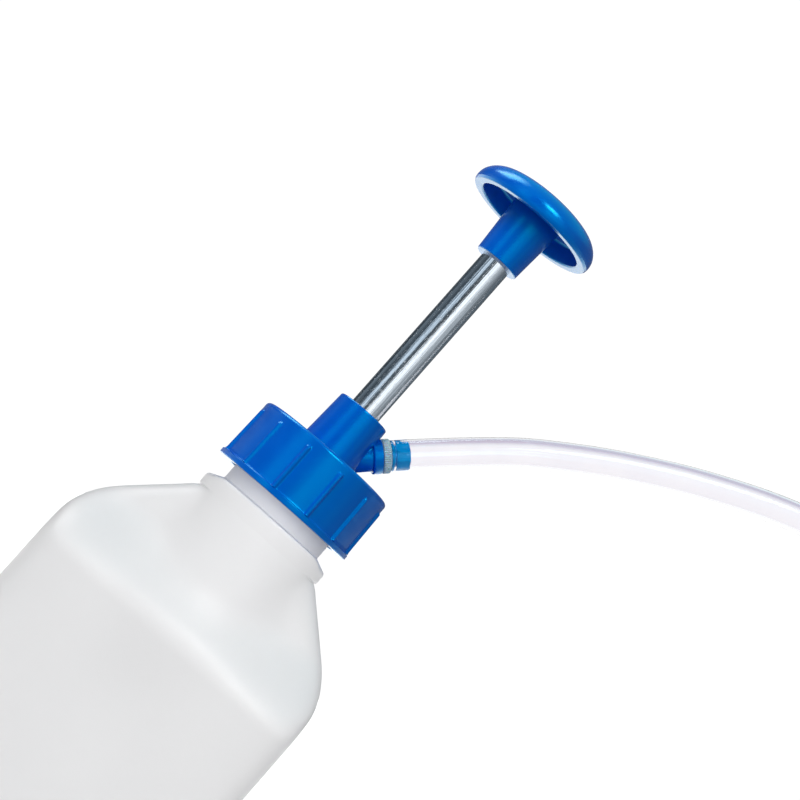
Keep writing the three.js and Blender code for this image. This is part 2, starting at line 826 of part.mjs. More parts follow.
place("bottle", bottle(), "bottle");
place("cap", cap(), "blue");
place("cap_gasket", capGasket(), "rubber");
place("pump_head", pumpHead(), "blue");
place("rod_bush", rodBush(), "white");
place("rod_seal", rodSeal(), "rubber");
place("rod_wiper", rodWiper(), "rubber");
place("barrel", barrel(), "white");
place("barrel_gasket", barrelGasket(), "rubber");
place("foot_valve_body", footValveBody(), "white");
place("inlet_ball", inletBall(), "steel");
place("ball_cage", ballCage(), "white");
place("suction_tube", suctionTube(), "white");
place("strainer", strainer(), "white");
place("handle", handle(), "blue");
place("rod_tube", rodTube(), "chrome");
place("rod_stud", rodStud(), "steel");
place("rod_plug", rodPlug(), "steel");
place("piston", piston(), "white");
place("piston_seal_upper", pistonSeal(PISTON_GROOVE.bottoms[1]), "rubber");
place("piston_seal_lower", pistonSeal(PISTON_GROOVE.bottoms[0]), "rubber");
place("piston_seat", pistonSeat(), "white");
place("piston_ball", pistonBall(), "steel");
place("outlet_fitting", outletFitting(), "blue");
place("hose_nut", hoseNut(), "frosted");
place("hose_barb", hoseBarb(), "blue");
place("hose", hose(), "clear");
place("hose_coil", hoseCoil(), "clear");
place("hose_tie", hoseTie(), "rubber");

export default part;
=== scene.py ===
"""Looks for a hand-operated fluid transfer pump on its bottle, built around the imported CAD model.

Shapes are written in millimetres and made in metres. +Z is up along the pump's axis, -Y is the front,
and the hose leaves on the +X side.
"""

import math

import bmesh
import bpy
from mathutils import Matrix, Vector


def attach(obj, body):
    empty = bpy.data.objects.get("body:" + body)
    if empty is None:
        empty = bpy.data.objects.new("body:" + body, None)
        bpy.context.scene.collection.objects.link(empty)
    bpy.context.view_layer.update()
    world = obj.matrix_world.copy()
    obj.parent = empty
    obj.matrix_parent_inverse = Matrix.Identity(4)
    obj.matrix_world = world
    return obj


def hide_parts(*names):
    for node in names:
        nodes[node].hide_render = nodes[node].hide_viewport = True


MM = 0.001

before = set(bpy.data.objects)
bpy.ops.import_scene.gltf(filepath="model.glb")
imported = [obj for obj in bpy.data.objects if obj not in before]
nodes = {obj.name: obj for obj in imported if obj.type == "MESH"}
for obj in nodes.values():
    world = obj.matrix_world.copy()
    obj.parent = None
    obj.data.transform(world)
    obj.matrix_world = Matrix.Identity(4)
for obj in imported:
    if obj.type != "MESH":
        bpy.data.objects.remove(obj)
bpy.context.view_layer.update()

# ---- Camera ----------------------------------------------------------------------------------------

CAMERA_PLACE = (0.0, -0.9434, 0.1986)
CAMERA_YAW = math.radians(0.538)
CAMERA_PITCH = math.radians(6.272)
CAMERA_ROLL = math.radians(41.413)
CAMERA_LENS = 90.0
CAMERA_SENSOR = 36.0


def make_camera():
    """A camera in front of the pump, rolled so that the upright pump leans to the right in the picture."""
    forward = Vector(
        (
            math.sin(CAMERA_YAW) * math.cos(CAMERA_PITCH),
            math.cos(CAMERA_YAW) * math.cos(CAMERA_PITCH),
            math.sin(CAMERA_PITCH),
        )
    )
    level = Vector((math.cos(CAMERA_YAW), -math.sin(CAMERA_YAW), 0))
    upright = level.cross(forward)
    right = level * math.cos(CAMERA_ROLL) + upright * math.sin(CAMERA_ROLL)
    above = upright * math.cos(CAMERA_ROLL) - level * math.sin(CAMERA_ROLL)
    data = bpy.data.cameras.new("camera")
    data.lens = CAMERA_LENS
    data.sensor_width = CAMERA_SENSOR
    data.clip_end = 50
    camera = bpy.data.objects.new("camera", data)
    bpy.context.scene.collection.objects.link(camera)
    turn = Matrix((right, above, -forward)).transposed().to_4x4()
    camera.matrix_world = Matrix.Translation(CAMERA_PLACE) @ turn
    bpy.context.scene.camera = camera


make_camera()

# ---- Mesh helpers ----------------------------------------------------------------------------------

SHARP = math.radians(38)
FACETS = 128


def smoothstep(value, low, high):
    """0 below low, 1 above high, and an S-curve between them."""
    share = min(max((value - low) / (high - low), 0), 1)
    return share * share * (3 - 2 * share)


def mix(a, b, share):
    """A when share is 0, b when it is 1."""
    return a + (b - a) * share


def make_object(name, points, faces, material, metres=False):
    """A smooth-shaded mesh object whose faces look outwards and whose edges over 38 degrees stay sharp."""
    scale = 1 if metres else MM
    mesh = bpy.data.meshes.new(name)
    mesh.from_pydata([Vector(p) * scale for p in points], [], faces)
    work = bmesh.new()
    work.from_mesh(mesh)
    bmesh.ops.recalc_face_normals(work, faces=work.faces)
    work.to_mesh(mesh)
    work.free()
    mesh.polygons.foreach_set("use_smooth", [True] * len(mesh.polygons))
    mesh.set_sharp_from_angle(angle=SHARP)
    mesh.materials.append(material)
    mesh.update()
    made = bpy.data.objects.new(name, mesh)
    bpy.context.scene.collection.objects.link(made)
    return made


def eased(corners, steps=6):
    """An open profile of (radius, height, fillet) corners, with each fillet as an arc.

    A point just before and just after each arc keeps the flats beside it flat in smooth shading.
    """
    out = []
    for i, (radius, height, fillet) in enumerate(corners):
        here = Vector((radius, height))
        if not fillet or i in (0, len(corners) - 1):
            out.append(here)
            continue
        to_last = Vector(corners[i - 1][:2]) - here
        to_next = Vector(corners[i + 1][:2]) - here
        half = to_last.angle(to_next) / 2
        reach = min(fillet / math.tan(half), 0.46 * to_last.length, 0.46 * to_next.length)
        bend = reach * math.tan(half)
        centre = here + (to_last.normalized() + to_next.normalized()).normalized() * bend / math.sin(half)
        first = here + to_last.normalized() * reach
        last = here + to_next.normalized() * reach
        support = 0.12 * reach
        out.append(first + to_last.normalized() * support)
        spoke, sweep = first - centre, math.pi - 2 * half
        side = 1 if spoke.cross(last - centre) > 0 else -1
        for k in range(steps + 1):
            angle = side * sweep * k / steps
            c, s = math.cos(angle), math.sin(angle)
            out.append(centre + Vector((spoke.x * c - spoke.y * s, spoke.x * s + spoke.y * c)))
        out.append(last + to_next.normalized() * support)
    return out


def curved(knots, steps=5):
    """A smooth profile through (radius, height) knots."""
    points = [Vector(k) for k in knots]
    ends = [points[0] * 2 - points[1], *points, points[-1] * 2 - points[-2]]
    out = []
    for a, b, c, d in zip(ends, ends[1:], ends[2:], ends[3:]):
        for k in range(steps):
            t = k / steps
            out.append(
                0.5
                * (
                    2 * b
                    + (c - a) * t
                    + (2 * a - 5 * b + 4 * c - d) * t**2
                    + (3 * b - a - 3 * c + d) * t**3
                )
            )
    out.append(points[-1])
    return out


def ring_faces(rows, columns, offset=0, closed=False):
    """Quads between rows of points round the axis. Closed joins the last row to the first."""
    faces = []
    for i in range(rows if closed else rows - 1):
        for j in range(columns):
            a, b = offset + i * columns, offset + (i + 1) % rows * columns
            k = (j + 1) % columns
            faces.append((a + j, a + k, b + k, b + j))
    return faces


def turned(profile, facets=FACETS, shift=None):
    """Points and faces of a profile of (radius, height) turned about Z.

    A point with no radius becomes one pole. Shift, if given, changes a radius from (radius, height, angle).
    """
    points, rows, faces = [], [], []
    for radius, height in profile:
        if abs(radius) < 1e-6:
            rows.append([len(points)])
            points.append((0, 0, height))
            continue
        row = []
        for j in range(facets):
            angle = 2 * math.pi * j / facets
            r = shift(radius, height, angle) if shift else radius
            row.append(len(points))
            points.append((r * math.cos(angle), r * math.sin(angle), height))
        rows.append(row)
    for low, high in zip(rows, rows[1:]):
        for j in range(facets):
            k = (j + 1) % facets
            if len(low) == 1 and len(high) > 1:
                faces.append((low[0], high[k], high[j]))
            elif len(high) == 1 and len(low) > 1:
                faces.append((low[j], low[k], high[0]))
            elif len(low) > 1:
                faces.append((low[j], low[k], high[k], high[j]))
    return points, faces


def looped(profile, facets=FACETS, shift=None):
    """The same for a closed profile, whose last point joins its first."""
    points, faces = turned([*profile, profile[0]], facets, shift)
    count = len(profile) * facets
    faces = [tuple(i % count for i in face) for face in faces]
    return points[:count], faces


def moved(shape, matrix):
    """A shape of (points, faces) carried by a matrix."""
    points, faces = shape
    return [tuple(matrix @ Vector(p)) for p in points], faces


# ---- Materials -------------------------------------------------------------------------------------


def nodes_of(name):
    """A new material, its node tree and its shader."""
    material = bpy.data.materials.new(name)
    material.use_nodes = True
    tree = material.node_tree
    return material, tree, tree.nodes["Principled BSDF"]


def add_node(tree, kind, **inputs):
    """A node with its sockets, or else its own settings, given by name."""
    node = tree.nodes.new(kind)
    for key, value in inputs.items():
        if key in node.inputs:
            node.inputs[key].default_value = value
        else:
            setattr(node, key, value)
    return node


def object_noise(tree, scale, detail=2.0, stretch=(1, 1, 1)):
    """Noise in the object's own frame, stretched along its axes."""
    place = add_node(tree, "ShaderNodeTexCoord")
    mapping = add_node(tree, "ShaderNodeMapping")
    mapping.inputs["Scale"].default_value = stretch
    noise = add_node(tree, "ShaderNodeTexNoise", Scale=scale, Detail=detail)
    tree.links.new(place.outputs["Object"], mapping.inputs["Vector"])
    tree.links.new(mapping.outputs["Vector"], noise.inputs["Vector"])
    return noise.outputs["Fac"]


def ranged(tree, value, low, high, first=0.3, last=0.7):
    """A value between first and last mapped to low and high."""
    node = add_node(tree, "ShaderNodeMapRange")
    node.inputs["From Min"].default_value = first
    node.inputs["From Max"].default_value = last
    node.inputs["To Min"].default_value = low
    node.inputs["To Max"].default_value = high
    tree.links.new(value, node.inputs["Value"])
    return node.outputs["Result"]


def feed(tree, socket, value):
    """Links another node's output to a socket, or sets the socket to a number or to three of a colour."""
    if isinstance(value, bpy.types.NodeSocket):
        tree.links.new(value, socket)
    elif isinstance(value, tuple):
        socket.default_value = (*value, 1)
    elif socket.type == "RGBA":
        socket.default_value = (value, value, value, 1)
    else:
        socket.default_value = value


def colour_mix(tree, share, first, second, blend="MIX"):
    """The first colour where the share is 0, and the second, or its blend with the first, where it is 1."""
    node = add_node(tree, "ShaderNodeMix", data_type="RGBA", blend_type=blend)
    feed(tree, node.inputs[0], share)
    feed(tree, node.inputs[6], first)
    feed(tree, node.inputs[7], second)
    return node.outputs[2]


def arithmetic(tree, operation, *values):
    """One sum on values that are numbers or other nodes' outputs."""
    node = add_node(tree, "ShaderNodeMath", operation=operation)
    for socket, value in zip(node.inputs, values):
        feed(tree, socket, value)
    return node.outputs[0]


def bump(tree, shader, height, distance):
    """Relief on a shader: height runs from 0 to 1 and distance is its depth in metres."""
    node = add_node(tree, "ShaderNodeBump", Strength=1.0, Distance=distance)
    tree.links.new(height, node.inputs["Height"])
    tree.links.new(node.outputs["Normal"], shader.inputs["Normal"])


def moulded(name, light, dark, rough=(0.3, 0.4), grain=0.00003, **sockets):
    """A moulded plastic or rubber: slow drifts in colour, uneven gloss and a fine moulded grain."""
    material, tree, shader = nodes_of(name)
    slow = object_noise(tree, 38, 3)
    tree.links.new(colour_mix(tree, ranged(tree, slow, 0, 1), dark, light), shader.inputs["Base Color"])
    patchy = object_noise(tree, 160, 4)
    tree.links.new(ranged(tree, patchy, *rough), shader.inputs["Roughness"])
    bump(tree, shader, object_noise(tree, 900, 5), grain)
    for socket, value in sockets.items():
        shader.inputs[socket.replace("_", " ")].default_value = value
    return material


BLUE_TINT = (0.0, 0.85, 1, 1)
blue = moulded(
    "blue_plastic",
    (0.0, 0.083, 0.5),
    (0.0, 0.073, 0.46),
    (0.2, 0.27),
    0.00002,
    Specular_Tint=BLUE_TINT,
    Specular_IOR_Level=1.0,
)
# The barb is the blue plastic painted lighter: painted light for the light that the clear hose round it
# gathers onto it.
barb_painted_light_blue = moulded(
    "barb_plastic_painted_light",
    (0.0, 0.24, 0.62),
    (0.0, 0.2, 0.56),
    (0.3, 0.4),
    0.00002,
    Specular_Tint=BLUE_TINT,
)
black = moulded("black_rubber", (0.018, 0.018, 0.02), (0.01, 0.01, 0.011), (0.45, 0.6), 0.00005)
strap_black = moulded("strap_plastic", (0.02, 0.02, 0.022), (0.012, 0.012, 0.013), (0.3, 0.42), 0.00006)
white = moulded("white_plastic", (0.8, 0.8, 0.77), (0.72, 0.72, 0.69), (0.35, 0.5), 0.00004)

# The neck starts at the collar's crest. Its wall is painted a little greyer than the rest of the bottle:
# painted shade for the dark space inside the cap behind it.
COLLAR_CREST = 219.9
NECK_PAINTED_SHADE = (0.85, 0.85, 0.86)


def bottle_plastic():
    """Milky blow-moulded polyethylene: cloudy, soft-glossed and faintly rippled, with painted shade on its
    neck.
    """
    material, tree, shader = nodes_of("bottle_plastic")
    cloud = object_noise(tree, 9, 3, (1, 1, 0.5))
    wall = colour_mix(tree, ranged(tree, cloud, 0, 1), (0.76, 0.76, 0.77), (0.8, 0.8, 0.808))
    place = add_node(tree, "ShaderNodeTexCoord")
    split = add_node(tree, "ShaderNodeSeparateXYZ")
    tree.links.new(place.outputs["Object"], split.inputs[0])
    # Painted shade: above the collar's crest the wall's colour is multiplied by a grey.
    neck_shade_mask = ranged(tree, split.outputs["Z"], 0, 1, (COLLAR_CREST - 0.4) * MM, (COLLAR_CREST + 0.8) * MM)
    neck_shaded = colour_mix(tree, neck_shade_mask, wall, NECK_PAINTED_SHADE, "MULTIPLY")
    tree.links.new(neck_shaded, shader.inputs["Base Color"])
    tree.links.new(ranged(tree, object_noise(tree, 120, 4), 0.38, 0.5), shader.inputs["Roughness"])
    shader.inputs["Subsurface Weight"].default_value = 0.3
    shader.inputs["Subsurface Radius"].default_value = (1, 0.98, 1)
    shader.inputs["Subsurface Scale"].default_value = 0.006
    shader.inputs["Specular IOR Level"].default_value = 0.35
    ripple = object_noise(tree, 45, 2, (1, 1, 0.35))
    grain = object_noise(tree, 1400, 4)
    bump(tree, shader, arithmetic(tree, "MULTIPLY_ADD", grain, 0.12, ripple), 0.0002)
    return material


def chrome_plate():
    """Polished plating over drawn tube: lengthwise draw lines, fine scuffs and dull specks."""
    material, tree, shader = nodes_of("rod_chrome")
    shader.inputs["Metallic"].default_value = 1
    draw_lines = object_noise(tree, 1300, 3, (1, 1, 0.012))
    specks = object_noise(tree, 1500, 4, (1, 1, 0.3))
    tree.links.new(
        colour_mix(tree, ranged(tree, draw_lines, 0, 1, 0.38, 0.62), (0.5, 0.53, 0.56), (0.7, 0.74, 0.77)),
        shader.inputs["Base Color"],
    )
    tree.links.new(ranged(tree, specks, 0.02, 0.38, 0.5, 0.72), shader.inputs["Roughness"])
    bump(tree, shader, arithmetic(tree, "MULTIPLY_ADD", specks, 0.35, draw_lines), 0.00009)
    return material


def ground_steel():
    """Ground steel with fine turning marks round it."""
    material, tree, shader = nodes_of("ground_steel")
    shader.inputs["Metallic"].default_value = 1
    turned_marks = object_noise(tree, 900, 3, (0.1, 0.1, 1))
    tree.links.new(
        colour_mix(tree, turned_marks, (0.45, 0.46, 0.47), (0.6, 0.61, 0.62)),
        shader.inputs["Base Color"],
    )
    tree.links.new(ranged(tree, turned_marks, 0.2, 0.35), shader.inputs["Roughness"])
    bump(tree, shader, turned_marks, 0.00002)
    return material


def frosted_plastic():
    """The nut's half-clear plastic: pale grey-green, hazy, with light showing through."""
    material, tree, shader = nodes_of("frosted_plastic")
    haze = object_noise(tree, 300, 3)
    tree.links.new(
        colour_mix(tree, ranged(tree, haze, 0, 1), (0.44, 0.63, 0.72), (0.56, 0.74, 0.8)),
        shader.inputs["Base Color"],
    )
    tree.links.new(ranged(tree, haze, 0.22, 0.36), shader.inputs["Roughness"])
    shader.inputs["Transmission Weight"].default_value = 0.35
    shader.inputs["Subsurface Weight"].default_value = 0.3
    shader.inputs["Subsurface Scale"].default_value = 0.002
    bump(tree, shader, object_noise(tree, 1500, 3), 0.00002)
    return material


def clear_hose():
    """Clear flexible PVC with the faintest lilac cast and a slow unevenness along its wall."""
    material, tree, shader = nodes_of("clear_hose")
    slow = object_noise(tree, 60, 3)
    tree.links.new(
        colour_mix(tree, ranged(tree, slow, 0, 1), (0.95, 0.945, 0.975), (0.975, 0.97, 0.99)),
        shader.inputs["Base Color"],
    )
    tree.links.new(ranged(tree, slow, 0.02, 0.07), shader.inputs["Roughness"])
    shader.inputs["Transmission Weight"].default_value = 1
    shader.inputs["IOR"].default_value = 1.45
    shader.inputs["Specular Tint"].default_value = (0.3, 0.6, 0.7, 1)
    bump(tree, shader, object_noise(tree, 220, 2), 0.00003)
    return material


milky = bottle_plastic()
chrome = chrome_plate()
steel = ground_steel()
frosted = frosted_plastic()
clear = clear_hose()

# ---- Hose ------------------------------------------------------------------------------------------

# The outlet, the hose and its coil are in metres here. NUT_END, in millimetres, is along the outlet's axis.
OUTLET_PLACE = Vector((0, 0, 0.257))
OUTLET_WAY = Vector((0.708, 0.13, 0.694)).normalized()
NUT_END = 32.0
HOSE_START = 0.0323
HOSE_OUTER, HOSE_INNER = 0.0075, 0.0055
# The points that the hose follows from its nut to its coil, as in the CAD source.
HOSE_ROUTE = [
    (0.0339, 0.0062, 0.2903),
    (0.0557, 0.0102, 0.3109),
    (0.071, 0.013, 0.3242),
    (0.0877, 0.0161, 0.3364),
    (0.1051, 0.0193, 0.3481),
    (0.1224, 0.0225, 0.3586),
    (0.141, 0.0259, 0.369),
    (0.1605, 0.0295, 0.3787),
    (0.18, 0.033, 0.3875),
    (0.1996, 0.0366, 0.395),
    (0.2193, 0.0403, 0.4013),
    (0.238, 0.0437, 0.4039),
    (0.259, 0.0476, 0.4006),
    (0.278, 0.051, 0.3909),
    (0.293, 0.0538, 0.3759),
    (0.3027, 0.0556, 0.3569),
    (0.306, 0.0562, 0.3359),
    (0.306, 0.0562, 0.285),
    (0.306, 0.0562, 0.235),
    (0.306, 0.0562, 0.185),
    (0.306, 0.0562, 0.135),
    (0.306, 0.0562, 0.1),
    (0.306, 0.0558, 0.075),
    (0.306, 0.051, 0.051),
    (0.306, 0.0363, 0.0289),
    (0.306, 0.0142, 0.0142),
    (0.306, -0.009, 0.009),
]
COIL_CENTRE = Vector((0.223, -0.009, 0.009))
COIL_OUTER, COIL_INNER = 0.083, 0.0676
COIL_TURNS = 1.66
COIL_STEP = math.radians(4)
# Where, in turns, the outer turn moves in to become the inner one.
SHIFT_START, SHIFT_END = 0.68, 0.99
ROUTE_STEP = 0.004


def spline_point(p0, p1, p2, p3, t):
    """A point between p1 and p2 on a centripetal Catmull-Rom curve."""
    d1 = (p1 - p0).length ** 0.5
    d2 = (p2 - p1).length ** 0.5
    d3 = (p3 - p2).length ** 0.5
    m1 = ((p1 - p0) / d1 - (p2 - p0) / (d1 + d2) + (p2 - p1) / d2) * d2
    m2 = ((p2 - p1) / d2 - (p3 - p1) / (d2 + d3) + (p3 - p2) / d3) * d2
    c2 = 3 * (p2 - p1) - 2 * m1 - m2
    c3 = 2 * (p1 - p2) + m1 + m2
    return p1 + m1 * t + c2 * t**2 + c3 * t**3


def hose_path():
    """The hose's centreline, from the outlet over the top, down to the floor and round its coil."""
    knots = [OUTLET_PLACE + OUTLET_WAY * HOSE_START, *(Vector(p) for p in HOSE_ROUTE)]
    ends = [knots[0] * 2 - knots[1], *knots, knots[-1] * 2 - knots[-2]]
    path = []
    for a, b, c, d in zip(ends, ends[1:], ends[2:], ends[3:]):
        steps = max(2, round((c - b).length / ROUTE_STEP))
        path += [spline_point(a, b, c, d, k / steps) for k in range(steps)]
    steps = round(COIL_TURNS * 2 * math.pi / COIL_STEP)
    for k in range(steps + 1):
        turns = COIL_TURNS * k / steps
        radius = mix(COIL_OUTER, COIL_INNER, smoothstep(turns, SHIFT_START, SHIFT_END))
        angle = -2 * math.pi * turns
        path.append(COIL_CENTRE + radius * Vector((math.cos(angle), math.sin(angle), 0)))
    return path


def tube_rings(path, radius, sides):
    """Rings of points round a path, turned as little as possible from one to the next."""
    rings = []
    side = None
    for i, here in enumerate(path):
        way = (path[min(i + 1, len(path) - 1)] - path[max(i - 1, 0)]).normalized()
        start = side if side is not None else Vector((0, 1, 0))
        side = (start - way * start.dot(way)).normalized()
        other = way.cross(side)
        for j in range(sides):
            angle = 2 * math.pi * j / sides
            rings.append(here + radius * (side * math.cos(angle) + other * math.sin(angle)))
    return rings


def make_hose():
    """The whole hose as one tube with a wall and two open ends, and the path that it follows."""
    sides = 24
    path = hose_path()
    outer = tube_rings(path, HOSE_OUTER, sides)
    inner = tube_rings(path, HOSE_INNER, sides)
    rows = len(path)
    inside = rows * sides
    last = inside - sides
    faces = ring_faces(rows, sides) + ring_faces(rows, sides, offset=inside)
    for j in range(sides):
        k = (j + 1) % sides
        faces.append((j, k, inside + k, inside + j))
        faces.append((last + k, last + j, inside + last + j, inside + last + k))
    hose = make_object("hose", outer + inner, faces, clear, metres=True)
    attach(hose, "head")
    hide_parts("hose", "hose_coil")
    return hose, path


TIE_WIDTH, TIE_THICK, TIE_CHAMFER, TIE_SLACK = 11.0, 1.1, 0.3, 0.3
TIE_ANGLE = math.radians(150)


def make_tie():
    """A strap with chamfered edges round both turns of the coil."""
    half = (COIL_OUTER - COIL_INNER) / MM / 2
    round_inside = HOSE_OUTER / MM + TIE_SLACK
    columns = 32
    outline = []
    for k in range(columns):
        angle = 2 * math.pi * k / columns
        centre = half if math.cos(angle) > 0 else -half
        outline.append((centre, Vector((math.cos(angle), math.sin(angle)))))
    edge = TIE_WIDTH / 2
    flat = edge - TIE_CHAMFER
    section = [
        (0.0, -flat),
        (0.0, flat),
        (TIE_CHAMFER, edge),
        (TIE_THICK - TIE_CHAMFER, edge),
        (TIE_THICK, flat),
        (TIE_THICK, -flat),
        (TIE_THICK - TIE_CHAMFER, -edge),
        (TIE_CHAMFER, -edge),
    ]
    points = []
    for centre, way in outline:
        for out, across in section:
            reach = round_inside + out
            points.append((centre + reach * way.x, across, reach * way.y))
    faces = ring_faces(len(outline), len(section), closed=True)
    middle = (COIL_OUTER + COIL_INNER) / 2 / MM
    place = (
        Matrix.Translation(COIL_CENTRE / MM)
        @ Matrix.Rotation(TIE_ANGLE, 4, "Z")
        @ Matrix.Translation((middle, 0, 0))
    )
    tie = make_object("hose_tie", *moved((points, faces), place), strap_black)
    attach(tie, "head")
    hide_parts("hose_tie")
    return tie


hose, path = make_hose()
tie = make_tie()

# ---- Bottle ----------------------------------------------------------------------------------------

BOTTLE_HALF_WIDTH, BOTTLE_HALF_DEPTH = 75.0, 50.0
WALL = 2.4
BASE_ROUND = 8.0
SHOULDER_TOP, SHOULDER_SLOPE, SHOULDER_ROUND = 210.6, 1.062, 14.0
# Between these heights the body thins to a wing on each side of the neck, and its corners get rounder.
WING_DEPTH, WING_TOP, WING_BOTTOM = 23.0, 186.0, 148.0
BODY_POWER, WING_POWER = 7, 3
BULGE_SLOPE = 0.105
# How soft the crease between the bulge and the shoulders is, and how much softer for each millimetre down.
CREASE, SOFTENING = 3.0, 0.4
# The bulge has faded into the flat front by BULGE_END. Above that its crease reaches no more than RUN_OUT
# for each millimetre up.
BULGE_END, RUN_OUT = 110.0, 0.53
# How much higher the collar's top edge is at the front and back than at the sides.
FRONT_RISE = 2.4
COLLAR_RADIUS, COLLAR_TOP, COLLAR_STEP = 36.5, 216.6, 0.9
NECK_RADIUS, NECK_BORE, NECK_TOP, RIM_EDGE = 29.0, 26.4, 251.5, 0.4
# A thread fades out over THREAD_FADE of a turn at each end. Its crest and root are half widths.
THREAD_PITCH, THREAD_HEIGHT, THREAD_FADE = 6.0, 2.1, 0.1
THREAD_CREST, THREAD_ROOT = 0.6, 1.5
NECK_THREAD_START, NECK_THREAD_TURNS = 236.5, 1.5
CAP_THREAD_START, CAP_THREAD_TURNS = 233.5, 1.25


def soft_max(a, b, reach):
    """The larger of two, with a rounded change from one to the other where they are within reach."""
    return max(a, b) + max(reach - abs(a - b), 0) ** 2 / (4 * reach)


def soft_min(a, b, reach):
    """The smaller of two, rounded in the same way."""
    return -soft_max(-a, -b, reach)


def thread_ridge(height, angle, start, turns):
    """How far a right-handed thread stands out at a height and an angle, as a share of its height."""
    share = (angle % (2 * math.pi)) / (2 * math.pi)
    best = 0.0
    for turn in (share, 1 + share):
        if turn > turns:
            continue
        ends = min(1, turn / THREAD_FADE, (turns - turn) / THREAD_FADE)
        away = abs(height - start - turn * THREAD_PITCH)
        best = max(best, ends * (1 - smoothstep(away, THREAD_CREST, THREAD_ROOT)))
    return best


def flush_share(angle):
    """1 at the front and back, where the round bulge meets the collar flush, and 0 at the sides."""
    return smoothstep(abs(math.sin(angle)), 0.35, 0.7)


def bottle_radius(height, angle):
    """How far the bottle's skin is from the axis at a height, in the direction of an angle from +X."""
    below = SHOULDER_TOP - height
    base = max(BASE_ROUND - height, 0)
    inset = BASE_ROUND - math.sqrt(max(BASE_ROUND**2 - base**2, 0))
    wings = smoothstep(height, WING_BOTTOM, WING_TOP)
    spread = COLLAR_RADIUS - 1 + below * SHOULDER_SLOPE
    width = soft_min(BOTTLE_HALF_WIDTH, spread, SHOULDER_ROUND) - inset
    depth = mix(BOTTLE_HALF_DEPTH, WING_DEPTH, wings) - inset
    power = mix(BODY_POWER, WING_POWER, wings)
    across = abs(math.cos(angle) / width) ** power + abs(math.sin(angle) / depth) ** power
    sides = across ** (-1 / power)
    bulge = COLLAR_RADIUS - 1 + flush_share(angle) + below * BULGE_SLOPE
    near_collar = smoothstep(height, BULGE_END, WING_BOTTOM + 6)
    reach = max(min(CREASE + SOFTENING * below, RUN_OUT * (height - BULGE_END)), 1)
    return mix(sides, soft_max(sides, bulge, reach), near_collar)


def make_bottle():
    """The bottle as one skin: up its outside, over the neck's rim and down its inside."""
    facets = 192
    points = []

    def row(radius_at, height, rise=0):
        """A ring of points, whose front and back are lifted by rise."""
        for j in range(facets):
            angle = 2 * math.pi * j / facets
            radius = radius_at(angle)
            lifted = height + rise * flush_share(angle)
            points.append((radius * math.cos(angle), radius * math.sin(angle), lifted))

    base_rows = [BASE_ROUND * (1 - math.cos(math.pi / 2 * k / 8)) for k in range(9)]
    body_rows = range(16, 136, 8)
    shoulder_rows = range(136, 210, 2)
    for height in [*base_rows, *body_rows, *shoulder_rows]:
        row(lambda angle, h=height: bottle_radius(h, angle), height)
    foot = COLLAR_RADIUS - COLLAR_STEP
    collar = eased(
        [
            (foot, SHOULDER_TOP - 1.2, 0),
            (foot, SHOULDER_TOP, 0.5),
            (COLLAR_RADIUS, SHOULDER_TOP + 0.2, 0.5),
            (COLLAR_RADIUS, COLLAR_TOP, 2.0),
            (NECK_RADIUS, COLLAR_CREST, 0.8),
            (NECK_RADIUS, COLLAR_CREST + 3, 0),
        ]
    )
    for radius, height in collar[1:]:
        up = (height - SHOULDER_TOP) / (COLLAR_TOP - SHOULDER_TOP)
        down = (COLLAR_CREST - height) / (COLLAR_CREST - COLLAR_TOP)
        flush = COLLAR_RADIUS if height < SHOULDER_TOP + 1 else radius
        row(
            lambda angle, r=radius, f=flush: mix(r, f, flush_share(angle)),
            height,
            FRONT_RISE * max(min(up, down), 0),
        )
    thread_rows = [COLLAR_CREST + 4 + 0.5 * k for k in range(54)]
    for height in [*thread_rows, NECK_TOP - RIM_EDGE]:
        row(
            lambda angle, h=height: NECK_RADIUS
            + THREAD_HEIGHT * thread_ridge(h, angle, NECK_THREAD_START, NECK_THREAD_TURNS),
            height,
        )
    row(lambda angle: NECK_RADIUS - RIM_EDGE, NECK_TOP)
    row(lambda angle: NECK_BORE + RIM_EDGE, NECK_TOP)
    row(lambda angle: NECK_BORE, NECK_TOP - RIM_EDGE)
    row(lambda angle: NECK_BORE, COLLAR_TOP)
    row(lambda angle: COLLAR_RADIUS - 2 * WALL, SHOULDER_TOP)
    inner_rows = [*range(206, 140, -6), 100, 60, 20, BASE_ROUND, 4.5]
    for height in inner_rows:
        row(lambda angle, h=height: bottle_radius(h + 1, angle) - WALL, height)
    row(lambda angle: bottle_radius(WALL + 1.5, angle) - WALL - 2, WALL)
    rows = len(points) // facets
    faces = ring_faces(rows, facets)
    low, high = len(points), len(points) + 1
    points += [(0, 0, 0), (0, 0, WALL)]
    last = (rows - 1) * facets
    for j in range(facets):
        k = (j + 1) % facets
        faces.append((low, k, j))
        faces.append((high, last + j, last + k))
    bottle = make_object("bottle", points, faces, milky)
    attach(bottle, "bottle_body")
    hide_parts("bottle")
    return bottle


bottle = make_bottle()

# ---- Cap -------------------------------------------------------------------------------------------

CAP_BOTTOM, CAP_TOP, CAP_PLATE = 227.5, 260.5, 2.7
CAP_TOP_RADIUS, CAP_SKIRT_RADIUS, CAP_LIP_RADIUS, CAP_LIP_HEIGHT = 37.15, 37.9, 38.9, 3.0
CAP_EDGE = 4.2
CAP_BORE, CAP_HOLE = 31.8, 16.3
# How far the cap's thread stays clear of the neck, and how close together the rows that carry it are.
THREAD_CLEARANCE, THREAD_ROW = 0.6, 0.6
RIB_COUNT, RIB_TURN = 12, math.radians(17 - 90)
RIB_HALF, RIB_PROUD, RIB_CORNER, RIB_EASE = 1.8, 1.2, 1.2, 1.5
RIB_TOP = CAP_TOP - CAP_EDGE - 0.6
# Steps round the cap in degrees: this many fine ones to each side of a rib, then coarse ones to the next.
RIB_STEP, RIB_STEPS, COARSE_STEPS = 0.35, 12, 9
SKIRT_ROWS, INNER_ROWS = 44, 44


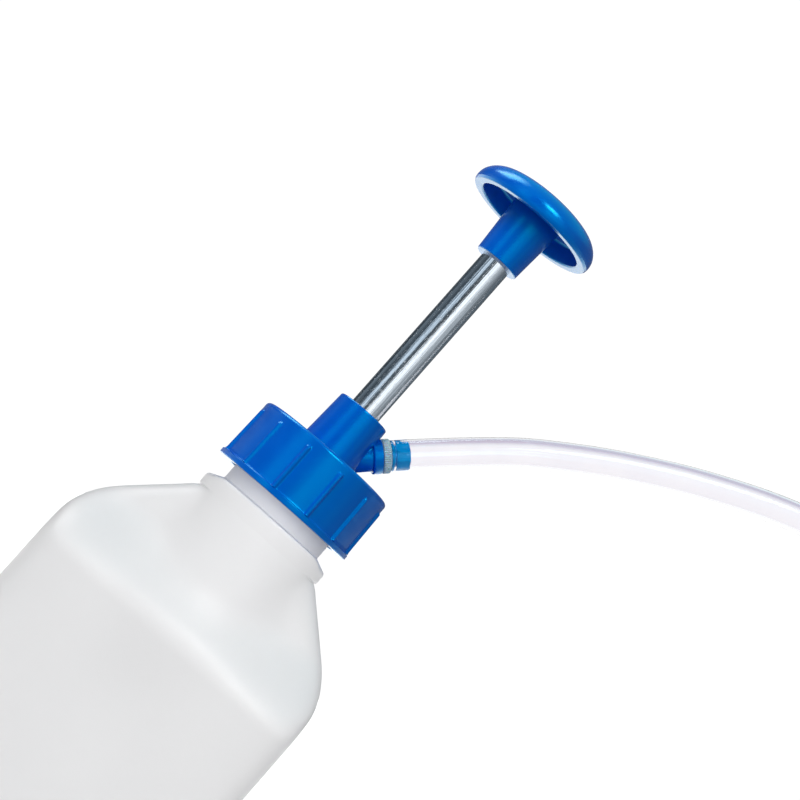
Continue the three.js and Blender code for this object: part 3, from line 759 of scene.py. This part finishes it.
def rib_angles():
    """Angles round the cap, close together at each rib and far apart between them."""
    period = 360 / RIB_COUNT
    reach = RIB_STEP * RIB_STEPS
    gap = period - 2 * reach
    near = [RIB_STEP * k for k in range(-RIB_STEPS, RIB_STEPS + 1)]
    apart = [reach + gap * k / COARSE_STEPS for k in range(1, COARSE_STEPS)]
    return [
        RIB_TURN + math.radians(period * rib + step) for rib in range(RIB_COUNT) for step in near + apart
    ]


def rib_height(height, angle):
    """How far the nearest rib stands out of the skirt."""
    period = 2 * math.pi / RIB_COUNT
    off = (angle - RIB_TURN + period / 2) % period - period / 2
    across = abs(off) * CAP_SKIRT_RADIUS - (RIB_HALF - RIB_CORNER)
    along = height - (RIB_TOP - RIB_CORNER)
    outside = math.hypot(max(across, 0), max(along, 0)) + min(max(across, along), 0) - RIB_CORNER
    return RIB_PROUD * smoothstep(-outside, 0, RIB_EASE)


def make_cap():
    """The screw cap: a ribbed skirt with a lip, a top plate with a hole, and a thread inside."""
    lip_top = CAP_BOTTOM + CAP_LIP_HEIGHT
    ceiling = CAP_TOP - CAP_PLATE
    lower = eased(
        [
            (CAP_BORE, CAP_BOTTOM + 3, 0),
            (CAP_BORE, CAP_BOTTOM, 0.4),
            (CAP_LIP_RADIUS, CAP_BOTTOM, 0.5),
            (CAP_LIP_RADIUS, lip_top - 0.3, 0.4),
            (CAP_SKIRT_RADIUS + 0.2, lip_top + 0.1, 0.3),
            (CAP_SKIRT_RADIUS - 0.1, lip_top + 1, 0),
        ]
    )
    skirt = []
    for k in range(1, SKIRT_ROWS):
        share = k / SKIRT_ROWS
        height = mix(lip_top + 1, CAP_TOP - CAP_EDGE, share)
        skirt.append(Vector((mix(CAP_SKIRT_RADIUS - 0.1, CAP_TOP_RADIUS, share), height)))
    upper = eased(
        [
            (CAP_TOP_RADIUS, CAP_TOP - CAP_EDGE - 0.2, 0),
            (CAP_TOP_RADIUS, CAP_TOP, CAP_EDGE),
            (CAP_HOLE, CAP_TOP, 0.5),
            (CAP_HOLE, ceiling, 0),
        ],
        steps=10,
    )
    inside = [Vector((CAP_BORE, ceiling - THREAD_ROW * k)) for k in range(1, INNER_ROWS + 1)]
    profile = [*lower, *skirt, *upper, Vector((CAP_BORE - 0.2, ceiling)), *inside]
    angles = rib_angles()
    points = []
    for radius, height in profile:
        outer = radius > CAP_TOP_RADIUS - 0.01 and lip_top < height < CAP_TOP - CAP_EDGE
        inner = abs(radius - CAP_BORE) < 0.01 and height > CAP_BOTTOM + 1
        for angle in angles:
            reach = radius
            if outer:
                reach += rib_height(height, angle)
            elif inner:
                ridge = thread_ridge(height, angle, CAP_THREAD_START, CAP_THREAD_TURNS)
                reach -= (CAP_BORE - NECK_RADIUS - THREAD_CLEARANCE) * ridge
            points.append((reach * math.cos(angle), reach * math.sin(angle), height))
    faces = ring_faces(len(profile), len(angles), closed=True)
    cap = make_object("cap", points, faces, blue)
    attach(cap, "cap_body")
    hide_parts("cap")


make_cap()

# ---- Pump head -------------------------------------------------------------------------------------

FLANGE_RADIUS, FLANGE_BOTTOM, FLANGE_TOP = 29.0, 254.3, 257.5
GLAND_BASE, GLAND_TOP_RADIUS, GLAND_TOP = 15.3, 13.9, 286.7
SPIGOT_RADIUS, SPIGOT_BOTTOM = 17.5, 240.0
SOCKET, SOCKET_TOP = 14.3, 253.5
CHAMBER, CHAMBER_TOP, SEAL_BORE, SEAL_TOP, MOUTH = 12.2, 270.0, 10.8, 285.0, 8.6
OUTLET_FRAME = (
    Matrix.Translation(OUTLET_PLACE / MM) @ OUTLET_WAY.to_track_quat("Z", "X").to_matrix().to_4x4()
)
# These starts and ends are along the outlet's axis, from the point where it crosses the pump's.
BOSS_RADIUS, BOSS_START, BOSS_GROOVE = 7.2, 13.5, 0.4
RING_RADIUS, RING_START, RING_END = 8.5, 23.3, 27.9
PORT, PORT_START, FITTING_THREAD, FITTING_START = 3.2, 11.0, 5.0, 21.0
# The hollow that is cut out of the boss, so that it doesn't fill the inside of the gland.
CORE, CORE_BOTTOM, CORE_TOP = 11.4, 262.0, 284.0


def apply_boolean(base, tool, operation):
    """Joins a tool to base or cuts it from base, and removes the tool."""
    change = base.modifiers.new("boolean", "BOOLEAN")
    change.operation = operation
    change.solver = "EXACT"
    change.object = tool
    graph = bpy.context.evaluated_depsgraph_get()
    mesh = bpy.data.meshes.new_from_object(base.evaluated_get(graph))
    base.modifiers.clear()
    base.data = mesh
    bpy.data.objects.remove(tool)
    mesh.polygons.foreach_set("use_smooth", [True] * len(mesh.polygons))
    mesh.set_sharp_from_angle(angle=SHARP)


def make_head():
    """The pump head: spigot, flange and gland tower in one, with the outlet's boss and its port."""
    body = eased(
        [
            (SPIGOT_RADIUS, SPIGOT_BOTTOM, 0),
            (SPIGOT_RADIUS, FLANGE_BOTTOM, 0),
            (FLANGE_RADIUS, FLANGE_BOTTOM, 0.4),
            (FLANGE_RADIUS, FLANGE_TOP, 0.4),
            (GLAND_BASE, FLANGE_TOP, 0.6),
            (GLAND_TOP_RADIUS, GLAND_TOP, 0.9),
            (MOUTH, GLAND_TOP, 0.4),
            (MOUTH, SEAL_TOP, 0),
            (SEAL_BORE, SEAL_TOP, 0),
            (SEAL_BORE, CHAMBER_TOP, 0),
            (CHAMBER, CHAMBER_TOP, 0),
            (CHAMBER, SOCKET_TOP, 0),
            (SOCKET, SOCKET_TOP, 0),
            (SOCKET, SPIGOT_BOTTOM, 0),
        ]
    )
    head = make_object("pump_head", *looped(body), blue)
    outlet = eased(
        [
            (0, BOSS_START, 0),
            (BOSS_RADIUS, BOSS_START, 0),
            (BOSS_RADIUS, RING_START - 0.5, 0.2),
            (BOSS_RADIUS - BOSS_GROOVE, RING_START - 0.2, 0.2),
            (BOSS_RADIUS - BOSS_GROOVE, RING_START, 0),
            (RING_RADIUS, RING_START, 0.7),
            (RING_RADIUS, RING_END, 0.5),
            (0, RING_END, 0),
        ]
    )
    boss = make_object("boss", *moved(turned(outlet, 96), OUTLET_FRAME), blue)
    port = [
        (0, PORT_START),
        (PORT, PORT_START),
        (PORT, FITTING_START),
        (FITTING_THREAD, FITTING_START),
        (FITTING_THREAD, RING_END + 1),
        (0, RING_END + 1),
    ]
    bore = make_object("bore", *moved(turned(port, 48), OUTLET_FRAME), blue)
    hollow = [(0, CORE_BOTTOM), (CORE, CORE_BOTTOM), (CORE, CORE_TOP), (0, CORE_TOP)]
    core = make_object("core", *turned(hollow, 64), blue)
    apply_boolean(boss, core, "DIFFERENCE")
    apply_boolean(head, boss, "UNION")
    apply_boolean(head, bore, "DIFFERENCE")
    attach(head, "head")
    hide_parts("pump_head")


make_head()

# ---- Outlet ----------------------------------------------------------------------------------------

NUT_START, NUT_RADIUS, NUT_BORE = 28.2, 8.3, 6.4
NUT_CHAMFER, KNURL_SHARPNESS = 0.45, 1.3
KNURLS, KNURL_DEPTH, KNURL_FACETS = 50, 0.42, 6
# The hose is stretched over the barb, so the barb's skin lies just outside the hose's bore.
BARB_GRIP = 5.53
BARB_BORE, BARB_STEM, BARB_GROOVE = 1.6, 2.5, 4.7
BARB_START, BARB_END = 25.0, 41.5
# The nose's flats, from NOSE_START on, and how far their corners stand out as a share of its radius.
NOSE_FLATS, NOSE_START, FLAT_CORNER = 8, NUT_END + 2.6, 1.06


def make_nut():
    """The hose nut: a half-clear ring with fine ridges along it all round."""
    face_radius = NUT_RADIUS - 0.5

    def ridged(radius, height, angle):
        if radius < face_radius:
            return radius
        return radius - KNURL_DEPTH * (0.5 - 0.5 * math.cos(angle * KNURLS)) ** KNURL_SHARPNESS

    profile = eased(
        [
            (NUT_BORE, NUT_START, 0),
            (face_radius, NUT_START, 0),
            (NUT_RADIUS, NUT_START + NUT_CHAMFER, 0.25),
            (NUT_RADIUS, NUT_END - NUT_CHAMFER, 0.25),
            (face_radius, NUT_END, 0),
            (NUT_BORE, NUT_END, 0),
        ],
        steps=3,
    )
    ring = looped(profile, KNURLS * KNURL_FACETS, ridged)
    nut = make_object("hose_nut", *moved(ring, OUTLET_FRAME), frosted)
    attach(nut, "hose_nut_body")
    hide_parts("hose_nut")


def make_barb():
    """The barb inside the hose: a flange, a groove and a nose with rounded-off flats."""

    def flatted(radius, height, angle):
        if height < NOSE_START or radius < BARB_GROOVE:
            return radius
        turn = 2 * math.pi / NOSE_FLATS
        off = (angle + turn / 2) % turn - turn / 2
        return min(radius / math.cos(off), radius * FLAT_CORNER)

    profile = eased(
        [
            (BARB_BORE, BARB_START, 0),
            (BARB_STEM, BARB_START, 0),
            (BARB_STEM, NUT_END - 0.2, 0),
            (BARB_GRIP, NUT_END - 0.2, 0.3),
            (BARB_GRIP, NUT_END + 1.8, 0.3),
            (BARB_GROOVE, NUT_END + 1.9, 0.2),
            (BARB_GROOVE, NUT_END + 2.5, 0.2),
            (BARB_GRIP, NUT_END + 2.7, 0.3),
            (BARB_GRIP - 0.1, BARB_END - 0.1, 0.6),
            (BARB_BORE, BARB_END, 0),
        ],
        steps=4,
    )
    shell = looped(profile, FACETS, flatted)
    barb = make_object("hose_barb", *moved(shell, OUTLET_FRAME), barb_painted_light_blue)
    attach(barb, "head")
    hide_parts("hose_barb")


make_nut()
make_barb()

# ---- Plunger ---------------------------------------------------------------------------------------

ROD_RADIUS, ROD_BORE, ROD_BOTTOM, ROD_TOP = 8.0, 6.5, 250.5, 405.7
HUB_BOTTOM, HUB_RADIUS, HUB_TOP_RADIUS = 382.3, 11.75, 13.6
HANDLE_RADIUS, LIP, HANDLE_TOP = 35.1, 406.5, 422.0
STUD_BORE, STUD_BORE_TOP = 5.3, 416.0
ROD_FIT, ROD_SEAT = 0.03, ROD_TOP + 0.6


def make_handle():
    """A mushroom knob: a crowned top, a thick rounded rim, a hollow underside and a tapered hub."""
    dome = curved(
        [
            (0.001, HANDLE_TOP),
            (8, HANDLE_TOP - 0.1),
            (16, HANDLE_TOP - 0.55),
            (23, HANDLE_TOP - 1.6),
            (28.5, HANDLE_TOP - 3.4),
            (32.3, HANDLE_TOP - 6.1),
            (34.5, HANDLE_TOP - 9.4),
            (HANDLE_RADIUS, HANDLE_TOP - 12.4),
            (HANDLE_RADIUS - 0.2, LIP + 1.2),
        ]
    )
    # The curve starts just off the axis, and its first point becomes the pole.
    dome[0] = Vector((0, HANDLE_TOP))
    under = eased(
        [
            (HANDLE_RADIUS - 0.2, LIP + 1.25, 0),
            (HANDLE_RADIUS - 0.9, LIP, 0.8),
            (HANDLE_RADIUS - 5.6, LIP + 0.1, 0.9),
            (HANDLE_RADIUS - 6.7, LIP + 9.2, 1.5),
            (22, LIP + 11.4, 4),
            (17, LIP + 11.2, 2),
            (HUB_TOP_RADIUS + 0.4, LIP + 9.6, 2),
            (HUB_RADIUS, HUB_BOTTOM, 0.5),
            (ROD_RADIUS + ROD_FIT, HUB_BOTTOM, 0),
            (ROD_RADIUS + ROD_FIT, ROD_SEAT, 0),
            (STUD_BORE, ROD_SEAT, 0),
            (STUD_BORE, STUD_BORE_TOP, 0),
            (0, STUD_BORE_TOP, 0),
        ]
    )
    handle = make_object("handle", *turned([*dome, *under], 160), blue)
    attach(handle, "plunger")
    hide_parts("handle")


def make_rod():
    """The plunger's tube, with its ends rounded over."""
    profile = eased(
        [
            (ROD_BORE, ROD_BOTTOM, 0),
            (ROD_RADIUS, ROD_BOTTOM, 0.3),
            (ROD_RADIUS, ROD_TOP, 0.3),
            (ROD_BORE, ROD_TOP, 0),
        ]
    )
    rod = make_object("rod_tube", *looped(profile), chrome)
    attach(rod, "plunger")
    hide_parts("rod_tube")


make_handle()
make_rod()

# ---- Pieces carried over from the CAD --------------------------------------------------------------

CARRIED = {
    black: ["cap_gasket", "rod_seal", "rod_wiper", "barrel_gasket", "piston_seal_upper", "piston_seal_lower"],
    white: [
        "rod_bush",
        "barrel",
        "foot_valve_body",
        "ball_cage",
        "suction_tube",
        "strainer",
        "piston",
        "piston_seat",
    ],
    steel: ["inlet_ball", "piston_ball", "rod_stud", "rod_plug"],
    blue: ["outlet_fitting"],
}
for material, names in CARRIED.items():
    for name in names:
        data = nodes[name].data
        data.materials.clear()
        data.materials.append(material)

# ---- Studio ----------------------------------------------------------------------------------------

FLOOR_RADIUS = 6.0


def make_floor():
    """A plain white floor that the camera sees, and that gives the pump no light or reflections."""
    facets = 96
    angles = [2 * math.pi * j / facets for j in range(facets)]
    points = [(FLOOR_RADIUS * math.cos(a), FLOOR_RADIUS * math.sin(a), 0) for a in angles]
    material, tree, shader = nodes_of("floor")
    paper = object_noise(tree, 3, 2)
    tree.links.new(colour_mix(tree, paper, (0.9, 0.9, 0.9), (0.92, 0.92, 0.92)), shader.inputs["Base Color"])
    shader.inputs["Roughness"].default_value = 0.8
    shader.inputs["Specular IOR Level"].default_value = 0.1
    shader.inputs["Emission Color"].default_value = (1, 1, 1, 1)
    shader.inputs["Emission Strength"].default_value = 1.0
    floor = make_object("floor", points, [tuple(range(facets))], material, metres=True)
    floor.visible_glossy = False
    floor.visible_diffuse = False
    floor.visible_transmission = False


# What shines back at each angle round the pump, from the front (0 degrees) towards the hose's side:
# how bright it is, and how much red and green it keeps beside blue.
STUDIO = [
    (-180, 0.3, 0.9),
    (-160, 0.26, 0.85),
    (-140, 0.1, 0.62),
    (-120, 0.085, 0.6),
    (-104, 0.3, 0.68),
    (-88, 0.15, 0.65),
    (-64, 0.12, 0.6),
    (-57, 0.16, 0.66),
    (-52, 0.8, 0.7),
    (-47, 1.2, 0.74),
    (-31, 1.05, 0.74),
    (-23, 0.2, 0.66),
    (-10, 0.12, 0.7),
    (-2, 0.2, 0.85),
    (7, 1.75, 0.93),
    (22, 1.7, 0.93),
    (36, 1.4, 0.92),
    (46, 0.7, 0.88),
    (54, 0.5, 0.85),
    (64, 0.75, 0.85),
    (76, 0.36, 0.82),
    (104, 0.21, 0.74),
    (122, 0.2, 0.68),
    (142, 0.16, 0.7),
    (164, 0.2, 0.88),
    (180, 0.3, 0.93),
]
STUDIO_PEAK = 3.0
# The table's shine behind and in front of the pump, and the room's above the screens.
TABLE_BEHIND, TABLE_IN_FRONT = 2.2, 0.7
CEILING = (0.05, 0.88, 1.0)
# Light that comes through the clear hose from above on its left is dimmer and faintly lilac.
THROUGH_WAY, THROUGH_SHADE = (-0.66, 0, 0.75), (0.6, 0.55, 0.66)
# Two softboxes overhead and a narrow one low down. Each has an angle round the pump and half its width, the
# sine of its height and half its span, and a brightness.
SOFTBOXES = [
    (math.radians(-103), math.radians(20), 0.68, 0.2, 6.5),
    (math.radians(12), math.radians(13), 0.69, 0.12, 18.0),
    (math.radians(-40), math.radians(7), 0.0, 0.02, 5.0),
]
SOFTBOX_EDGE = 0.05
AMBIENT_IN_FRONT, AMBIENT_BEHIND = 0.32, 1.0
CAMERA_WHITE = 1.05


def soft_span(tree, value, centre, half):
    """1 within half of the centre, falling softly to 0 outside."""
    away = arithmetic(tree, "ABSOLUTE", arithmetic(tree, "SUBTRACT", value, centre))
    return ranged(tree, away, 1, 0, half - SOFTBOX_EDGE, half + SOFTBOX_EDGE)


def make_world():
    """Soft white surroundings, which shine as tall strips with darker screens between them."""
    world = bpy.data.worlds.new("studio")
    bpy.context.scene.world = world
    world.use_nodes = True
    tree = world.node_tree
    tree.nodes.clear()
    split = add_node(tree, "ShaderNodeSeparateXYZ")
    direction = add_node(tree, "ShaderNodeTexCoord").outputs["Generated"]
    tree.links.new(direction, split.inputs[0])
    front = arithmetic(tree, "MULTIPLY", split.outputs["Y"], -1.0)
    azimuth = arithmetic(tree, "ARCTAN2", split.outputs["X"], front)
    height = split.outputs["Z"]

    # The walls that STUDIO describes.
    ramp = add_node(tree, "ShaderNodeValToRGB")
    tree.links.new(ranged(tree, azimuth, 0, 1, -math.pi, math.pi), ramp.inputs["Fac"])
    stops = ramp.color_ramp.elements
    for angle, *_ in STUDIO[1:-1]:
        stops.new((angle + 180) / 360)
    for stop, (angle, level, warmth) in zip(stops, STUDIO):
        stop.position = (angle + 180) / 360
        shade = level / STUDIO_PEAK
        stop.color = (shade * warmth, shade * (1 + warmth) / 2, shade, 1)
    walls = colour_mix(tree, 1, ramp.outputs["Color"], STUDIO_PEAK, "MULTIPLY")

    # What reflections see: the walls, with the ceiling and softboxes above and the table below.
    upper = colour_mix(tree, ranged(tree, height, 0, 1, 0.55, 0.8), walls, CEILING)
    for angle, half_angle, up, half_up, level in SOFTBOXES:
        across = soft_span(tree, azimuth, angle, half_angle)
        along = soft_span(tree, height, up, half_up)
        upper = colour_mix(tree, arithmetic(tree, "MULTIPLY", across, along), upper, level)
    table = colour_mix(
        tree, ranged(tree, split.outputs["Y"], 0, 1, -0.1, 0.5), TABLE_IN_FRONT, TABLE_BEHIND
    )
    shine = colour_mix(tree, ranged(tree, height, 0, 1, -0.03, 0.03), table, upper)

    # Even light for matt surfaces, white for the camera and a soft shade for rays through the hose.
    rays = add_node(tree, "ShaderNodeLightPath")
    behind = ranged(tree, split.outputs["Y"], 0, 1, -0.1, 0.7)
    ambient = colour_mix(tree, behind, AMBIENT_IN_FRONT, AMBIENT_BEHIND)
    lit = colour_mix(tree, rays.outputs["Is Glossy Ray"], ambient, shine)
    seen = colour_mix(tree, rays.outputs["Is Camera Ray"], lit, CAMERA_WHITE)
    tilt = add_node(tree, "ShaderNodeVectorMath", operation="DOT_PRODUCT")
    tree.links.new(direction, tilt.inputs[0])
    tilt.inputs[1].default_value = THROUGH_WAY
    dimmed = colour_mix(tree, ranged(tree, tilt.outputs["Value"], 0, 1, 0.18, 0.5), 1.0, THROUGH_SHADE)
    through = colour_mix(tree, rays.outputs["Is Transmission Ray"], seen, dimmed)
    background = add_node(tree, "ShaderNodeBackground")
    tree.links.new(through, background.inputs["Color"])
    out = add_node(tree, "ShaderNodeOutputWorld")
    tree.links.new(background.outputs[0], out.inputs["Surface"])


def make_light(name, place, aim, side, power):
    """A square area light at a place, aimed at a point, that doesn't show in reflections."""
    data = bpy.data.lights.new(name, "AREA")
    data.shape = "SQUARE"
    data.size = side
    data.energy = power
    light = bpy.data.objects.new(name, data)
    bpy.context.scene.collection.objects.link(light)
    light.location = place
    light.rotation_euler = (Vector(aim) - Vector(place)).to_track_quat("-Z", "Y").to_euler()
    light.visible_glossy = False
    return light


make_floor()
make_world()
key = make_light("key", (-1.1, -0.9, 0.95), (0, 0, 0.28), 0.8, 15.5)
make_light("front", (0.1, -1.6, 0.6), (0, 0, 0.25), 0.9, 9)
# The bottle's milky wall evens its light out. So the key leaves it alone, and it has two lights of its own,
# in which the cap and head cast no shadow on it.
fill = make_light("bottle_front", (-0.35, -1.4, 0.7), (0, 0, 0.15), 1.0, 11.8)
side = make_light("bottle_side", (1.4, -0.3, 0.5), (0, 0, 0.15), 0.9, 2.4)
bottle_only = bpy.data.collections.new("bottle_only")
bottle_only.objects.link(bottle)
for light in (fill, side):
    light.light_linking.receiver_collection = bottle_only
    light.light_linking.blocker_collection = bottle_only
all_but_bottle = bpy.data.collections.new("all_but_bottle")
all_but_bottle.objects.link(bottle)
all_but_bottle.collection_objects[0].light_linking.link_state = "EXCLUDE"
key.light_linking.receiver_collection = all_but_bottle
bpy.context.scene.view_settings.view_transform = "Standard"
